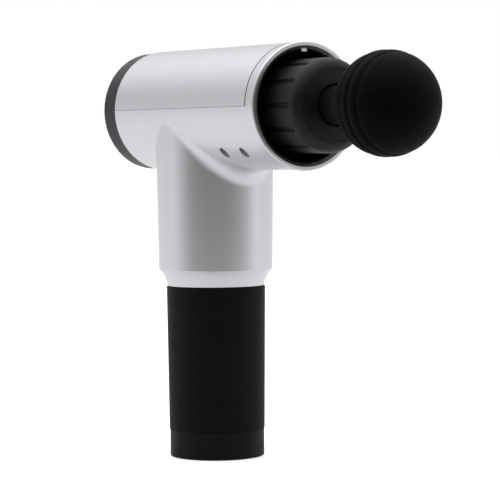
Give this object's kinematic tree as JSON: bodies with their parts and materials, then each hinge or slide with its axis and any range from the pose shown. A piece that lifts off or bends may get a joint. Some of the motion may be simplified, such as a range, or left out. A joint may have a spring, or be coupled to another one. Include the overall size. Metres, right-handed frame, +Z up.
{
  "type": "massage gun",
  "caption": "Handheld percussion massager: a T-shaped silver housing with a black battery handle, a crank-driven piston nose and a ridged ball head.",
  "frame": {"origin": "centre of the foot ring's bottom face, under the battery handle", "axes": "+Z up along the handle, +X along the barrel towards the massage head"},
  "size_m": [0.2438, 0.0668, 0.2222],
  "materials": {
    "housing_silver": "fine satin metallic silver paint",
    "bezel": "dark grey brushed anodised",
    "lens": "black gloss touch glass",
    "gasket": "matte black",
    "board": "green solder mask",
    "black_plastic": "matte black moulded",
    "white_plastic": "natural white moulded",
    "screw_steel": "black oxide",
    "rubber_black": "matte",
    "cast_aluminium": "machined casting",
    "bearing_steel": "ground bright",
    "core_steel": "laminated and plated",
    "copper": "enamelled wire",
    "brass": "turned",
    "piston_metal": "hard anodised, polished",
    "sleeve_black": "matte black, finely textured",
    "ball_rubber": "matte soft rubber",
    "grip_rubber": "matte silicone grip",
    "cap_black": "satin charcoal",
    "cell_wrap": "shrink-wrapped cell",
    "wire_insulation": "red silicone",
    "light_pipe": "clear frosted",
    "rocker_black": "gloss black"
  },
  "bodies": {
    "root": {"main_housing": "housing_silver", "top_cover": "housing_silver", "housing_screws": "screw_steel", "rear_gasket": "gasket", "rear_bezel": "bezel", "display_lens": "lens", "display_board": "board", "display_modules": "black_plastic", "rear_carrier": "black_plastic", "control_board": "board", "control_components": "black_plastic", "board_screws": "screw_steel", "damper_ring": "rubber_black", "drive_frame": "cast_aluminium", "drive_screws": "screw_steel", "motor_base": "cast_aluminium", "shaft_bearings": "bearing_steel", "stator_core": "core_steel", "stator_windings": "copper", "guide_cylinder": "cast_aluminium", "guide_bushes": "white_plastic", "front_liner": "black_plastic", "nose_sleeve": "sleeve_black", "nose_collar": "sleeve_black", "dust_seal": "rubber_black", "battery_socket": "black_plastic", "spring_contacts": "brass", "wiring_loom": "wire_insulation"},
    "rotor": {"rotor_can": "core_steel", "rotor_magnets": "bearing_steel", "motor_shaft": "bearing_steel", "crank_disc": "core_steel", "counterweight": "brass"},
    "rod": {"connecting_rod": "cast_aluminium", "rod_bearing": "bearing_steel", "crank_pin": "bearing_steel", "small_end_bush": "brass"},
    "piston": {"piston": "piston_metal", "wrist_pin": "bearing_steel"},
    "massage_head": {"head_stem": "black_plastic", "plug_rings": "rubber_black", "head_core": "black_plastic", "head_cover": "ball_rubber"},
    "battery": {"battery_tube": "black_plastic", "grip_sleeve": "grip_rubber", "contact_block": "black_plastic", "contact_pads": "brass", "battery_cells": "cell_wrap", "cell_holders": "white_plastic", "nickel_links": "bearing_steel", "protection_board": "board", "battery_wires": "wire_insulation", "bottom_cap": "cap_black", "foot_ring": "rubber_black", "cap_screws": "screw_steel", "rocker_frame": "black_plastic", "charge_jack": "black_plastic", "charge_light": "light_pipe", "charge_board": "board"},
    "power_switch": {"power_rocker": "rocker_black"}
  },
  "joints": [
    {"name": "motor_spin", "type": "hinge", "parent": "root", "child": "rotor", "pos_m": [0, 0, 0.175], "axis": [0, 0, 1], "continuous": true},
    {"name": "piston_stroke", "type": "slide", "parent": "root", "child": "piston", "axis": [1, 0, 0], "range_m": [0, 0.012]},
    {"name": "rod_swing", "type": "hinge", "parent": "piston", "child": "rod", "pos_m": [0.036, 0, 0.1888], "axis": [0, 0, 1], "range_deg": [-8.21, 8.21]},
    {"name": "head_release", "type": "slide", "parent": "piston", "child": "massage_head", "axis": [1, 0, 0], "range_m": [0, 0.03]},
    {"name": "battery_release", "type": "slide", "parent": "root", "child": "battery", "axis": [0, 0, -1], "range_m": [0, 0.03]},
    {"name": "power_toggle", "type": "hinge", "parent": "battery", "child": "power_switch", "pos_m": [0, 0.008, 0.005], "axis": [0, 1, 0], "range_deg": [0, 16]}
  ]
}
